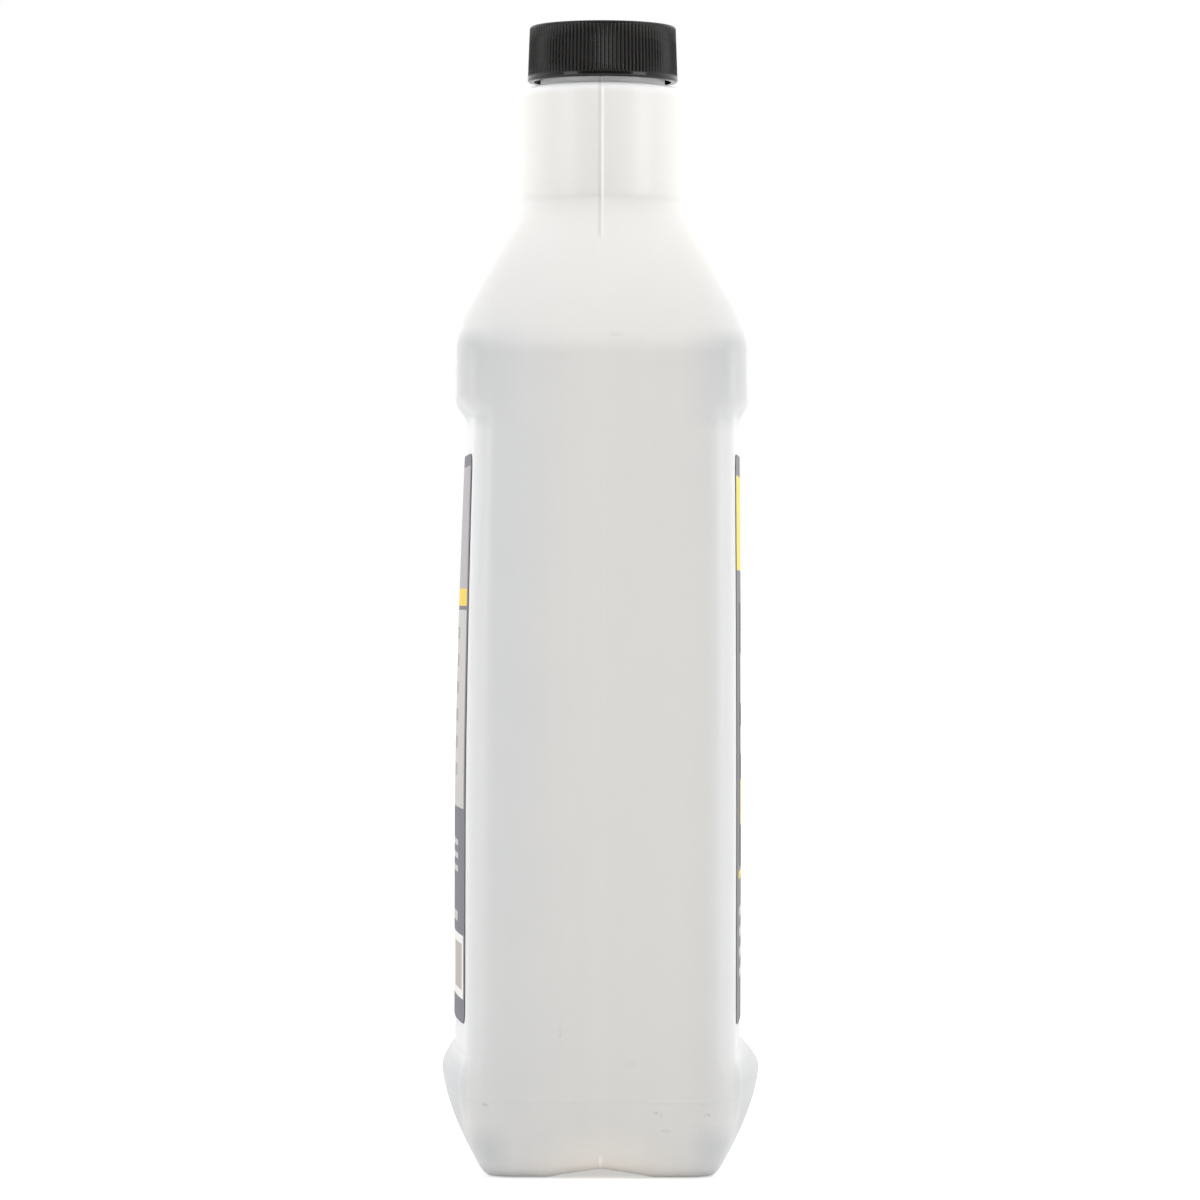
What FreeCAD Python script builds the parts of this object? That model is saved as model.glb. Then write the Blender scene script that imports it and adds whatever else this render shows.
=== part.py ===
import FreeCAD, Part
import math
import os

# Oblong plastic oil bottle with a ribbed screw cap, in millimetres.
# X runs along the broad faces, Y from the front label (-Y) to the back label (+Y), and Z is up.
# The origin is the middle of the underside, on the surface that the bottle stands on.

# Heights of the bottle, stacked from the underside up
foot_height = 18.8
flare_height = 4.8
panel_height = 124.2
step_height = 4.4
band_height = 13.4
shoulder_height = 28.8
neck_height = 20.2
neck_round_height = 1.9
finish_height = 10.2

# Plan of the body: depths are measured at the corners, and the crowns bulge beyond them
body_width = 105.0
corner_radius = 5.2
end_crown = 0.4
foot_depth = 55.0
foot_crown = 4.5
foot_seat_depth = 43.4
foot_seat_crown = 0.2
band_depth = 56.6
face_crown = 1.0
front_recess = 2.0
front_crown = 1.75
front_lean = 0.5
back_recess = 2.0
back_crown = 3.1
back_lean = 1.4
back_crown_loss = 0.8
back_upright_height = 45.0
foot_end_round = 6.0
shoulder_side_softening = 5.0
shoulder_end_softening = 4.0
shoulder_end_rise = 3.1
shoulder_end_drop = 1.6
shoulder_bulge = 0.3

# How far round the neck, in degrees from X and from Y, the flat sides reach where the shoulder meets it
neck_flat_angle = 32.0

# How quickly the foot swells, the flare opens and the panels lean
foot_power = 1.53
flare_power = 1.5
lean_power = 1.6

# Walls of the blown body
wall = 0.85
floor = 1.2

# Shallow channel along the underside, over the pinch line
channel_half_width = 11.0
channel_height = 1.55
channel_crest = 3.0

# Neck and finish
neck_diameter = 32.9
finish_diameter = 25.2
finish_bore = 21.4
finish_lip = 0.5

# Screw thread, six turns to the inch
thread_pitch = 25.4 / 6.0
thread_turns = 1.15
thread_depth = 1.0
thread_foot_width = 2.2
thread_crest_width = 0.9
thread_below_lip = 1.2
thread_fade_angle = 40.0
thread_sink = 0.4
thread_run_out = 0.24

# Cap
cap_diameter = 30.5
cap_height = 11.25
cap_top_thickness = 1.0
cap_edge_radius = 0.4
cap_taper = 0.35
cap_band_height = 1.0
cap_rib_count = 120
cap_rib_depth = 0.25
cap_rib_step = 0.08
cap_thread_depth = 1.05
cap_thread_foot_width = 1.8
cap_thread_crest_width = 0.7
cap_thread_turns = 1.15
cap_skirt_chamfer = 0.3
cap_rib_root = 0.05

# Clearances between the cap, its liner and the finish
thread_clearance = 0.3
flank_clearance = 0.45
liner_thickness = 0.8
liner_gap = 0.05
liner_side_clearance = 0.15

# Labels
label_width = 92.4
label_height = 111.3
label_lift = 6.0
label_corner_radius = 3.0
label_thickness = 0.12
label_adhesive = 0.05

# Sections along each stretch of the body
foot_steps = 9
flare_steps = 5
panel_steps = 11
step_steps = 5
knee_steps = 7
shoulder_steps = 4
thread_steps_per_turn = 18
closest_sections = 0.1

# How far cutting solids run past what they cut, and the step and limit used to measure slopes
overshoot = 1.0
slope_step = 0.5
steepest_stretch = 2.2

# Levels worked out from the heights
flare_top = foot_height + flare_height
panel_top = flare_top + panel_height
band_bottom = panel_top + step_height
shoulder_knee = band_bottom + band_height
shoulder_top = shoulder_knee + shoulder_height
shoulder_end_knee = shoulder_knee - shoulder_end_rise
shoulder_end_top = shoulder_top - shoulder_end_drop
neck_top = shoulder_top + neck_height
finish_bottom = neck_top + neck_round_height
finish_top = finish_bottom + finish_height

neck_radius = neck_diameter / 2.0
finish_radius = finish_diameter / 2.0
bore_radius = finish_bore / 2.0
thread_crest_radius = finish_radius + thread_depth

liner_bottom = finish_top + liner_gap
cap_ceiling = liner_bottom + liner_thickness + liner_gap
cap_top = cap_ceiling + cap_top_thickness
cap_bottom = cap_top - cap_height
cap_bore_radius = thread_crest_radius + thread_clearance

FRONT = -1
BACK = 1


def vec(x, y, z):
    return FreeCAD.Vector(x, y, z)


def softened_slope(height, knee, softening, slope):
    """Distance drawn in above a knee, rounded over the softening length on both sides of it."""
    if height <= knee - softening:
        return 0.0
    if height >= knee + softening:
        return slope * (height - knee)
    return slope * (height - knee + softening) ** 2 / (4.0 * softening)


def half_width(z):
    """Reach of the narrow ends at their middle, at height z."""
    reach = body_width / 2.0
    if z < foot_end_round:
        rise = foot_end_round - z
        return reach - foot_end_round + math.sqrt(foot_end_round ** 2 - rise ** 2)
    slope = (reach - neck_radius) / (shoulder_end_top - shoulder_end_knee)
    drawn_in = softened_slope(z, shoulder_end_knee, shoulder_end_softening, slope)
    return max(reach - drawn_in, neck_radius)


def upper_share(z):
    """How far up the leaning part of the back panel a height lies, from 0 to 1."""
    start = flare_top + back_upright_height
    share = (z - start) / (panel_top - start)
    return max(0.0, min(1.0, share)) ** lean_power


def panel_half_depth(z, side):
    """Reach of a label panel at its corners."""
    if side == FRONT:
        return band_depth / 2.0 - front_recess - front_lean * upper_share(z)
    return band_depth / 2.0 - back_recess - back_lean * upper_share(z)


def panel_crown(z, side):
    if side == FRONT:
        return front_crown
    return back_crown - back_crown_loss * upper_share(z)


def panel_share(z):
    """Share of the label panel's form at height z: 1 on the panel, 0 on the foot and the band."""
    if z <= foot_height or z >= band_bottom:
        return 0.0
    if z < flare_top:
        return ((z - foot_height) / flare_height) ** flare_power
    if z <= panel_top:
        return 1.0
    return 0.5 + 0.5 * math.cos(math.pi * (z - panel_top) / step_height)


def foot_swell(z):
    """How far the foot has swollen from its seat, 0, to its top, 1, at height z."""
    return (1.0 - (1.0 - z / foot_height) ** foot_power) ** (1.0 / foot_power)


def crown(z, side):
    """Bulge of a broad face beyond its corners, at height z, below the shoulder."""
    if z < foot_height:
        return blend(foot_seat_crown, foot_crown, foot_swell(z))
    plain = foot_crown if z < flare_top else face_crown
    return blend(plain, panel_crown(z, side), panel_share(z))


def half_depth(z, side):
    """Reach of a broad face at its middle, at height z."""
    foot = foot_depth / 2.0
    band = band_depth / 2.0
    if z < foot_height:
        return blend(foot_seat_depth / 2.0, foot, foot_swell(z)) + crown(z, side)
    if z < band_bottom:
        outside = foot if z < flare_top else band
        return blend(outside, panel_half_depth(z, side), panel_share(z)) + crown(z, side)
    reach = band + face_crown
    drawn_in = softened_slope(z, shoulder_knee, shoulder_side_softening, (reach - neck_radius) / shoulder_height)
    climb = max(0.0, (z - shoulder_knee) / shoulder_height)
    return max(reach - drawn_in + 4.0 * shoulder_bulge * climb * (1.0 - climb), neck_radius)


def neck_share(z):
    """Share of the neck's circle in the plan at height z: 0 below the shoulder, 1 where it meets the neck."""
    return max(0.0, min(1.0, (z - shoulder_end_knee) / (shoulder_end_top - shoulder_end_knee)))


def blend(low, high, share):
    return low + (high - low) * share


def bow_angle(half_chord, rise):
    """Angle between an arc and its chord, where they meet."""
    return 2.0 * math.atan(rise / half_chord)


def corner_cut(reach, face_angle, end_angle):
    """How far a corner arc's middle lies in from the square corner, so that the arc runs on smoothly."""
    turn = math.pi / 2.0 - face_angle - end_angle
    bow = reach * math.sqrt(0.5) * math.tan(turn / 4.0)
    return reach / 2.0 - bow * math.sqrt(0.5)


def wall_reach(profile, z, inset):
    """Reach of a surface set inwards by inset, measured square to its slope, and as wide as the neck's."""
    if inset == 0.0:
        return profile(z)
    slope = (profile(z + slope_step) - profile(z - slope_step)) / (2.0 * slope_step)
    stretch = min(math.sqrt(1.0 + slope ** 2), steepest_stretch)
    return max(profile(z) - inset * stretch, neck_radius - inset)


def arc(start, middle, end):
    return Part.Arc(start, middle, end).toShape()


def line(start, end):
    return Part.LineSegment(start, end).toShape()


def section(z, inset):
    """Closed outline of the body at height z: four crowned sides and rounded corners, a circle at the neck."""
    share = neck_share(z)
    neck = neck_radius - inset
    flat_angle = math.radians(neck_flat_angle)
    neck_crown = neck * (1.0 - math.cos(flat_angle))
    reach = blend(corner_radius - inset, neck * (math.cos(flat_angle) - math.sin(flat_angle)), share)
    end = wall_reach(half_width, z, inset)
    end_rise = blend(end_crown, neck_crown, share)
    side = end - end_rise
    inner = side - reach

    front_rise = blend(crown(z, FRONT), neck_crown, share)
    back_rise = blend(crown(z, BACK), neck_crown, share)
    front_middle = -wall_reach(lambda h: half_depth(h, FRONT), z, inset)
    back_middle = wall_reach(lambda h: half_depth(h, BACK), z, inset)
    front = front_middle + front_rise
    back = back_middle - back_rise
    low = front + reach
    high = back - reach
    end_angle = bow_angle((high - low) / 2.0, end_rise)
    front_cut = corner_cut(reach, bow_angle(inner, front_rise), end_angle)
    back_cut = corner_cut(reach, bow_angle(inner, back_rise), end_angle)
    middle = (low + high) / 2.0
    return Part.Wire([
        arc(vec(-inner, front, z), vec(0, front_middle, z), vec(inner, front, z)),
        arc(vec(inner, front, z), vec(side - front_cut, front + front_cut, z), vec(side, low, z)),
        arc(vec(side, low, z), vec(end, middle, z), vec(side, high, z)),
        arc(vec(side, high, z), vec(side - back_cut, back - back_cut, z), vec(inner, back, z)),
        arc(vec(inner, back, z), vec(0, back_middle, z), vec(-inner, back, z)),
        arc(vec(-inner, back, z), vec(back_cut - side, back - back_cut, z), vec(-side, high, z)),
        arc(vec(-side, high, z), vec(-end, middle, z), vec(-side, low, z)),
        arc(vec(-side, low, z), vec(front_cut - side, front + front_cut, z), vec(-inner, front, z)),
    ])


def spread(start, end, steps):
    """Heights from start up to, but not including, end."""
    return [start + (end - start) * step / steps for step in range(steps)]


def body_heights():
    """Heights of the sections, closer together where the form turns quickly."""
    heights = [foot_height * (step / foot_steps) ** 2 for step in range(foot_steps)]
    heights += spread(foot_height, flare_top, flare_steps)
    heights += spread(flare_top, panel_top, panel_steps)
    heights += spread(panel_top, band_bottom, step_steps)
    heights += [band_bottom]
    rounding_end = shoulder_knee + shoulder_side_softening
    heights += spread(shoulder_end_knee - shoulder_end_softening, rounding_end, knee_steps)
    heights += spread(rounding_end, shoulder_end_top, shoulder_steps)
    heights += [shoulder_end_top, shoulder_top]
    return heights


def body_form(inset, bottom):
    """Solid of the body from a bottom height to the neck, set inwards by inset."""
    heights = [bottom] + [z for z in body_heights() if z > bottom + closest_sections]
    return Part.makeLoft([section(z, inset) for z in heights], True, True)


def spin(points):
    """Solid turned about Z from (radius, height) points; four numbers are an arc's middle and end."""
    edges = []
    start = vec(points[0][0], 0, points[0][1])
    for point in points[1:] + [points[0]]:
        end = vec(point[-2], 0, point[-1])
        if len(point) == 4:
            edges.append(arc(start, vec(point[0], 0, point[1]), end))
        else:
            edges.append(line(start, end))
        start = end
    return Part.Face(Part.Wire(edges)).revolve(vec(0, 0, 0), vec(0, 0, 1), 360)


def round_over(wide, low, narrow, high):
    """Convex quarter round from a wide, low point to a narrow, high one, for spin."""
    share = math.sqrt(0.5)
    return [narrow + (wide - narrow) * share, low + (high - low) * share, narrow, high]


def thread_ridge(root_radius, depth, foot_width, crest_width, bottom_z, turns):
    """Right-hand ridge on a cylinder, run out at both ends; a negative depth points it inwards."""
    steps = max(4, round(turns * thread_steps_per_turn))
    fade = math.radians(thread_fade_angle)
    whole = 2.0 * math.pi * turns
    sunk_share = -thread_sink / abs(depth)
    end_share = -thread_run_out / abs(depth)
    sections = []
    for step in range(steps + 1):
        angle = whole * step / steps
        run_in = math.sin(0.5 * math.pi * min(1.0, angle / fade, (whole - angle) / fade))
        crest_share = end_share + (1.0 - end_share) * run_in
        middle = bottom_z + thread_pitch * angle / (2.0 * math.pi)
        corners = []
        for share, side in ((sunk_share, -1), (crest_share, -1), (crest_share, 1), (sunk_share, 1)):
            radius = root_radius + depth * share
            height = middle + side * (foot_width + (crest_width - foot_width) * share) / 2.0
            corners.append(vec(radius * math.cos(angle), radius * math.sin(angle), height))
        sections.append(Part.makePolygon(corners + [corners[0]]))
    return Part.makeLoft(sections, True, False, False, 3)


def neck_thread_bottom():
    """Height of the middle of the neck thread where it starts."""
    top = finish_top - thread_below_lip - thread_crest_width / 2.0
    return top - thread_pitch * thread_turns


def channel(lift):
    """Long low prism under the base, peaked over the pinch line, raised by lift."""
    peak = channel_height + lift
    crest_side = peak - channel_height * 0.5 * channel_crest / channel_half_width
    outline = [
        vec(-body_width, -channel_half_width, -overshoot),
        vec(-body_width, -channel_half_width, lift),
        vec(-body_width, -channel_crest / 2.0, crest_side),
    ]
    mirrored = [vec(point.x, -point.y, point.z) for point in reversed(outline)]
    edges = [line(start, end) for start, end in zip(outline, outline[1:])]
    edges.append(arc(outline[-1], vec(-body_width, 0, peak), mirrored[0]))
    edges += [line(start, end) for start, end in zip(mirrored, mirrored[1:])]
    edges.append(line(mirrored[-1], outline[0]))
    return Part.Face(Part.Wire(edges)).extrude(vec(2.0 * body_width, 0, 0))


def bottle_outside():
    body = body_form(0.0, 0.0).cut(channel(0.0))
    neck = spin([
        [0, shoulder_top],
        [neck_radius, shoulder_top],
        [neck_radius, neck_top],
        round_over(neck_radius, neck_top, finish_radius, finish_bottom),
        [finish_radius, finish_top - finish_lip],
        [finish_radius - finish_lip, finish_top],
        [0, finish_top],
    ])
    ridge = thread_ridge(
        finish_radius, thread_depth, thread_foot_width, thread_crest_width,
        neck_thread_bottom(), thread_turns,
    )
    return body.fuse(neck).fuse(ridge)


def bottle_inside():
    body = body_form(wall, floor).cut(channel(floor))
    inner_radius = neck_radius - wall
    neck = spin([
        [0, shoulder_top],
        [inner_radius, shoulder_top],
        [inner_radius, neck_top - wall],
        round_over(inner_radius, neck_top - wall, bore_radius, finish_bottom - wall),
        [bore_radius, finish_top + overshoot],
        [0, finish_top + overshoot],
    ])
    return body.fuse(neck)


def bottle():
    return bottle_outside().cut(bottle_inside())


def label(side):
    """Thin printed skin on a recessed panel, cut to a rounded rectangle."""
    low = flare_top + label_lift
    half = label_width / 2.0
    patch = Part.makeBox(label_width, foot_depth, label_height, vec(-half, 0, low))
    patch = patch.makeFillet(label_corner_radius, [
        edge for edge in patch.Edges if abs(edge.tangentAt(edge.FirstParameter).y) > 0.9
    ])
    if side == FRONT:
        patch = patch.mirror(vec(0, 0, 0), vec(0, 1, 0))
    heights = [z for z in body_heights() if flare_top <= z <= panel_top]
    outer = Part.makeLoft([section(z, -label_adhesive - label_thickness) for z in heights], True, True)
    inner = Part.makeLoft([section(z, -label_adhesive) for z in heights], True, True)
    return outer.common(patch).cut(inner)


def rib_star(z, radius):
    """Outline across the cap's fine ribs, peaked on each rib."""
    corners = []
    for index in range(2 * cap_rib_count):
        angle = math.pi * index / cap_rib_count
        reach = radius - cap_rib_depth * (index % 2)
        corners.append(vec(reach * math.cos(angle), reach * math.sin(angle), z))
    return Part.makePolygon(corners + [corners[0]])


def cap():
    band_radius = cap_diameter / 2.0
    band_top = cap_bottom + cap_band_height
    low_radius = band_radius - cap_rib_step
    high_radius = low_radius - cap_taper
    rib_top = cap_top - cap_edge_radius
    core_low = low_radius - cap_rib_depth - cap_rib_root
    core_high = high_radius - cap_rib_depth - cap_rib_root
    outside = spin([
        [0, cap_bottom],
        [band_radius - cap_skirt_chamfer, cap_bottom],
        [band_radius, cap_bottom + cap_skirt_chamfer],
        [band_radius, band_top],
        [core_low, band_top],
        [core_high, rib_top],
        round_over(core_high, rib_top, core_high - cap_edge_radius, cap_top),
        [0, cap_top],
    ])
    ribs = Part.makeLoft([
        rib_star(band_top - cap_skirt_chamfer, low_radius),
        rib_star(rib_top, high_radius),
    ], True, True)
    hollow = spin([
        [0, cap_bottom - overshoot],
        [cap_bore_radius, cap_bottom - overshoot],
        [cap_bore_radius, cap_ceiling],
        [0, cap_ceiling],
    ])
    share = (cap_bore_radius - cap_thread_depth - finish_radius) / thread_depth
    neck_width = thread_foot_width + (thread_crest_width - thread_foot_width) * share
    drop = (neck_width + cap_thread_crest_width) / 2.0 + flank_clearance
    ridge_bottom = neck_thread_bottom() - drop
    lowest = cap_bottom + cap_thread_foot_width / 2.0 + cap_skirt_chamfer
    turn_up = max(0.0, (lowest - ridge_bottom) / thread_pitch)
    ridge = thread_ridge(
        cap_bore_radius, -cap_thread_depth, cap_thread_foot_width, cap_thread_crest_width,
        ridge_bottom + thread_pitch * turn_up, cap_thread_turns,
    )
    ridge.rotate(vec(0, 0, 0), vec(0, 0, 1), 360.0 * turn_up)
    return outside.fuse(ribs).cut(hollow).fuse(ridge)


def cap_liner():
    radius = cap_bore_radius - liner_side_clearance
    return Part.makeCylinder(radius, liner_thickness, vec(0, 0, liner_bottom))


def main():
    pieces = {
        "bottle": bottle(),
        "front_label": label(FRONT),
        "back_label": label(BACK),
        "cap": cap(),
        "cap_liner": cap_liner(),
    }
    os.makedirs("parts", exist_ok=True)
    for name, shape in pieces.items():
        shape.exportStep("parts/" + name + ".step")
        print(name, shape.isValid(), len(shape.Solids), round(shape.Volume, 1))


main()
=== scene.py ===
import math

import bpy
import numpy as np
from mathutils import Matrix, Vector


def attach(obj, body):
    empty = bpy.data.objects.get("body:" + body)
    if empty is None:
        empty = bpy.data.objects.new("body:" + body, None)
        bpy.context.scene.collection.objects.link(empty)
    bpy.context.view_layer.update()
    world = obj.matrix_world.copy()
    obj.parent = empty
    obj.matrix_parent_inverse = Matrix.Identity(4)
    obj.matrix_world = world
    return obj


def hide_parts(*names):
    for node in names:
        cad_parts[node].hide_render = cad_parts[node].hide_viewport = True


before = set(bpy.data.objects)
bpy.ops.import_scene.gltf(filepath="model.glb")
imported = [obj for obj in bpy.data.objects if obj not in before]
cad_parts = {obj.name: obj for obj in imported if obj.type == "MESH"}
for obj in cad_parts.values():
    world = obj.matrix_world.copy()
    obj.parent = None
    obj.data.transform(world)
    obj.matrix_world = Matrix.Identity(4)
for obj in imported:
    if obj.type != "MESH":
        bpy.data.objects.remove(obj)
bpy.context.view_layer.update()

# The bottle's form is written in millimetres, as its drawing is, and turned into metres in make_mesh.
MM = 0.001
FRONT = -1
BACK = 1

# Heights of the bottle
FOOT_TOP = 18.8
FLARE_TOP = 23.6
PANEL_TOP = 147.8
BAND_BOTTOM = 152.2
SHOULDER_KNEE = 165.6
SHOULDER_TOP = 194.4
END_KNEE = 162.5
END_TOP = 192.8
NECK_TOP = 214.6
FINISH_BOTTOM = 216.5
FINISH_TOP = 226.7

# Plan of the bottle
HALF_WIDTH = 52.5
CORNER = 5.2
END_CROWN = 0.4
FOOT_HALF = 27.5
FOOT_CROWN = 4.5
SEAT_HALF = 21.7
SEAT_CROWN = 0.2
BAND_HALF = 28.3
FACE_CROWN = 1.0
PANEL_HALF = 26.3
FRONT_LEAN = 0.5
BACK_LEAN = 1.4
FRONT_CROWN = 1.75
BACK_CROWN = 3.1
BACK_CROWN_LOSS = 0.8
LEAN_START = 68.6
END_ROUND = 6.0
END_SOFTENING = 4.0
SIDE_SOFTENING = 5.0
SHOULDER_BULGE = 0.3
FLAT_ANGLE = math.radians(32.0)
FOOT_POWER = 1.53
FLARE_POWER = 1.5
LEAN_POWER = 1.6
CHANNEL_HALF = 11.0
CHANNEL_HEIGHT = 1.55
WALL = 0.85
FLOOR = 1.2

# Neck, finish and thread
NECK_RADIUS = 16.45
FINISH_RADIUS = 12.6
BORE_RADIUS = 10.7
LIP = 0.5
NECK_BLEND = 1.0
PITCH = 25.4 / 6.0
THREAD_TURNS = 1.15
THREAD_DEPTH = 1.0
THREAD_FOOT = 2.2
THREAD_CREST = 0.9
THREAD_BOTTOM = FINISH_TOP - 1.2 - THREAD_CREST / 2.0 - PITCH * THREAD_TURNS
RUN_OUT_ANGLE = math.radians(40.0)

# Marks that the mould leaves
SEAM_HEIGHT = 0.24
SEAM_WIDTH = 0.22
SEAM_BOLD_ABOVE = 185.0
SEAM_FAINT = 0.12
SEAM_TAIL_HEIGHT = 2.4
SEAM_TAIL_REACH = 1.2
MOULD_LINE = 14.9
MOULD_LINE_HEIGHT = 0.05
MOULD_LINE_WIDTH = 0.22

# Shares along the quarters of the outline where the bottle's columns stand, close together at the seam
END_SHARES = (0.0, 0.007, 0.014, 0.022, 0.03, 0.04, 0.055, 0.08, 0.12, 0.17)
END_COLUMNS = 12
CORNER_COLUMNS = 14
FACE_COLUMNS = 30

# Cap
CAP_BOTTOM = 217.35
CAP_TOP = 228.6
CAP_CEILING = 227.6
CAP_RADIUS = 15.25
CAP_BAND_TOP = 218.35
CAP_TAPER = 0.35
CAP_STEP = 0.08
CAP_EDGE = 0.4
CAP_CHAMFER = 0.3
CAP_RIBS = 120
CAP_RIB_DEPTH = 0.18
CAP_RIB_ROUNDNESS = 1.8
CAP_RIB_START = 0.35
CAP_RIB_END = 0.3
CAP_RIB_FADE = 0.8
CAP_EDGE_DRAW = 0.1
CAP_BORE = 13.9
CAP_THREAD_DEPTH = 1.05
CAP_THREAD_FOOT = 1.8
CAP_THREAD_CREST = 0.7
CAP_THREAD_TURNS = 1.15
CAP_THREAD_GAP = 0.45

# Labels
LABEL_HALF_WIDTH = 46.2
LABEL_LOW = 29.6
LABEL_HIGH = 140.9
LABEL_CORNER = 3.0
LABEL_ADHESIVE = 0.05
LABEL_THICKNESS = 0.12


def softened_slope(height, knee, softening, slope):
    """Distance drawn in above a knee, rounded over the softening length on both sides of it."""
    above = np.maximum(height - knee + softening, 0.0)
    rounded = slope * above ** 2 / (4.0 * softening)
    return np.where(height >= knee + softening, slope * (height - knee), rounded)


def smooth_larger(a, b, blend):
    """The larger of two reaches, with a fillet where they meet."""
    share = np.clip(0.5 + 0.5 * (a - b) / blend, 0.0, 1.0)
    return b + (a - b) * share + blend * share * (1.0 - share)


def half_width(z):
    """Reach of the narrow ends at their middle, at height z."""
    rise = np.clip(END_ROUND - z, 0.0, END_ROUND)
    rounding = END_ROUND - np.sqrt(END_ROUND ** 2 - rise ** 2)
    slope = (HALF_WIDTH - NECK_RADIUS) / (END_TOP - END_KNEE)
    reach = HALF_WIDTH - rounding - softened_slope(z, END_KNEE, END_SOFTENING, slope)
    return smooth_larger(reach, NECK_RADIUS, NECK_BLEND)


def lean_share(z):
    share = (z - LEAN_START) / (PANEL_TOP - LEAN_START)
    return np.clip(share, 0.0, 1.0) ** LEAN_POWER


def panel_share(z):
    """1 on the label panel, 0 on the foot and the band."""
    flare = np.clip((z - FOOT_TOP) / (FLARE_TOP - FOOT_TOP), 0.0, 1.0) ** FLARE_POWER
    step = np.clip((z - PANEL_TOP) / (BAND_BOTTOM - PANEL_TOP), 0.0, 1.0)
    return flare * (0.5 + 0.5 * np.cos(math.pi * step))


def panel_half(z, side):
    lean = FRONT_LEAN if side == FRONT else BACK_LEAN
    return PANEL_HALF - lean * lean_share(z)


def blend(low, high, share):
    return low + (high - low) * share


def foot_swell(z):
    """How far the foot has swollen from its seat, 0, to its top, 1."""
    return (1.0 - np.clip(1.0 - z / FOOT_TOP, 0.0, 1.0) ** FOOT_POWER) ** (1.0 / FOOT_POWER)


def crown(z, side):
    """Bulge of a broad face beyond its corners, below the shoulder."""
    bulge = FRONT_CROWN if side == FRONT else BACK_CROWN - BACK_CROWN_LOSS * lean_share(z)
    plain = np.where(z < FLARE_TOP, blend(SEAT_CROWN, FOOT_CROWN, foot_swell(z)), FACE_CROWN)
    return blend(plain, bulge, panel_share(z))


def half_depth(z, side):
    """Reach of a broad face at its middle, at height z."""
    outside = np.where(z < FLARE_TOP, blend(SEAT_HALF, FOOT_HALF, foot_swell(z)), BAND_HALF)
    body = blend(outside, panel_half(z, side), panel_share(z)) + crown(z, side)
    slope = (BAND_HALF + FACE_CROWN - NECK_RADIUS) / (SHOULDER_TOP - SHOULDER_KNEE)
    climb = np.clip((z - SHOULDER_KNEE) / (SHOULDER_TOP - SHOULDER_KNEE), 0.0, 1.0)
    bulge = 4.0 * SHOULDER_BULGE * climb * (1.0 - climb)
    reach = body - softened_slope(z, SHOULDER_KNEE, SIDE_SOFTENING, slope) + bulge
    return smooth_larger(reach, NECK_RADIUS, 0.6 * NECK_BLEND)


def neck_share(z):
    """Share of the neck's circle in the plan: 0 below the shoulder, 1 where it meets the neck."""
    return np.clip((z - END_KNEE) / (END_TOP - END_KNEE), 0.0, 1.0)


def wall_reach(profile, z, inset):
    """Reach of a surface set inwards, measured square to its slope."""
    step = 0.5
    slope = (profile(z + step) - profile(z - step)) / (2.0 * step)
    return np.maximum(profile(z) - inset * np.minimum(np.sqrt(1.0 + slope ** 2), 2.2), NECK_RADIUS - inset)


def bow(shares, half_chord, rise):
    """Points along half an arc, from its middle: how far along the chord and how far below the middle."""
    radius = (half_chord ** 2 + rise ** 2) / (2.0 * rise)
    turn = 2.0 * np.arctan(rise / half_chord) * shares
    return radius * np.sin(turn), radius * (1.0 - np.cos(turn))


def quarter(z, side, inset):
    """Quarter of the outline at heights z, from the middle of an end to the middle of a broad face."""
    share = neck_share(z)
    neck = NECK_RADIUS - inset
    neck_crown = neck * (1.0 - math.cos(FLAT_ANGLE))
    reach = blend(CORNER - inset, neck * (math.cos(FLAT_ANGLE) - math.sin(FLAT_ANGLE)), share)
    end = wall_reach(half_width, z, inset)
    face = wall_reach(lambda height: half_depth(height, side), z, inset)
    end_rise = blend(END_CROWN, neck_crown, share)
    face_rise = blend(crown(z, side), neck_crown, share)
    end_flat = face - face_rise - reach
    face_flat = end - end_rise - reach

    end_shares = np.array(list(END_SHARES) + spread(0.24, 1.0, END_COLUMNS))
    along, drop = bow(end_shares, end_flat, end_rise)
    end_part = (end - drop, along)

    turn = math.pi / 2.0 - 2.0 * np.arctan(end_rise / end_flat) - 2.0 * np.arctan(face_rise / face_flat)
    radius = reach * math.sqrt(0.5) / np.sin(turn / 2.0)
    back_off = reach / 2.0 + radius * np.cos(turn / 2.0) * math.sqrt(0.5)
    angle = math.pi / 4.0 + turn * np.array(spread(-0.5, 0.5, CORNER_COLUMNS))
    corner_x = end - end_rise - back_off + radius * np.cos(angle)
    corner_y = face - face_rise - back_off + radius * np.sin(angle)

    face_shares = np.array(spread(1.0, 0.0, FACE_COLUMNS) + [0.0])
    along, drop = bow(face_shares, face_flat, face_rise)
    x = np.concatenate([end_part[0], corner_x, along], axis=1)
    y = np.concatenate([end_part[1], corner_y, face - drop], axis=1)
    return x, y


def outline(z, inset):
    """Whole outline at heights z: a row of columns for each height, anticlockwise from +X."""
    back_x, back_y = quarter(z, BACK, inset)
    front_x, front_y = quarter(z, FRONT, inset)
    x = [back_x, -back_x[:, -2:0:-1], -front_x, front_x[:, -2:0:-1]]
    y = [back_y, back_y[:, -2:0:-1], -front_y, -front_y[:, -2:0:-1]]
    return np.concatenate(x, axis=1), np.concatenate(y, axis=1)


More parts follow.
